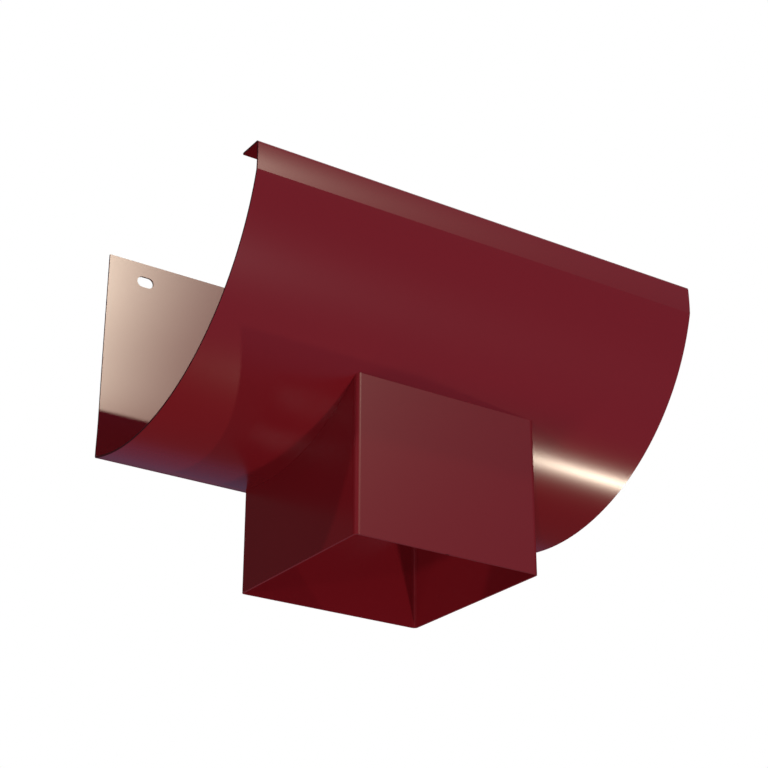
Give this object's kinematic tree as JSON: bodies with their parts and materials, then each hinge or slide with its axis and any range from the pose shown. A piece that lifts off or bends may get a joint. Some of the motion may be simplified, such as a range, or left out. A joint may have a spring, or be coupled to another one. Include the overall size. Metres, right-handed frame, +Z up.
{
  "type": "gutter outlet",
  "caption": "Sheet-steel gutter outlet: a short rolled trough with a flat slotted rear wall and a hooked front lip, and a square spout below that leads the water into a downpipe.",
  "frame": {"origin": "centre of the spout's lower mouth", "axes": "+X along the gutter, +Y from the front lip towards the rear wall, +Z up"},
  "size_m": [0.2, 0.1199, 0.1326],
  "materials": {
    "painted_steel": "glossy wine-red polyester coil coating on both sides"
  },
  "bodies": {
    "root": {"trough": "painted_steel", "spout": "painted_steel"}
  },
  "joints": []
}
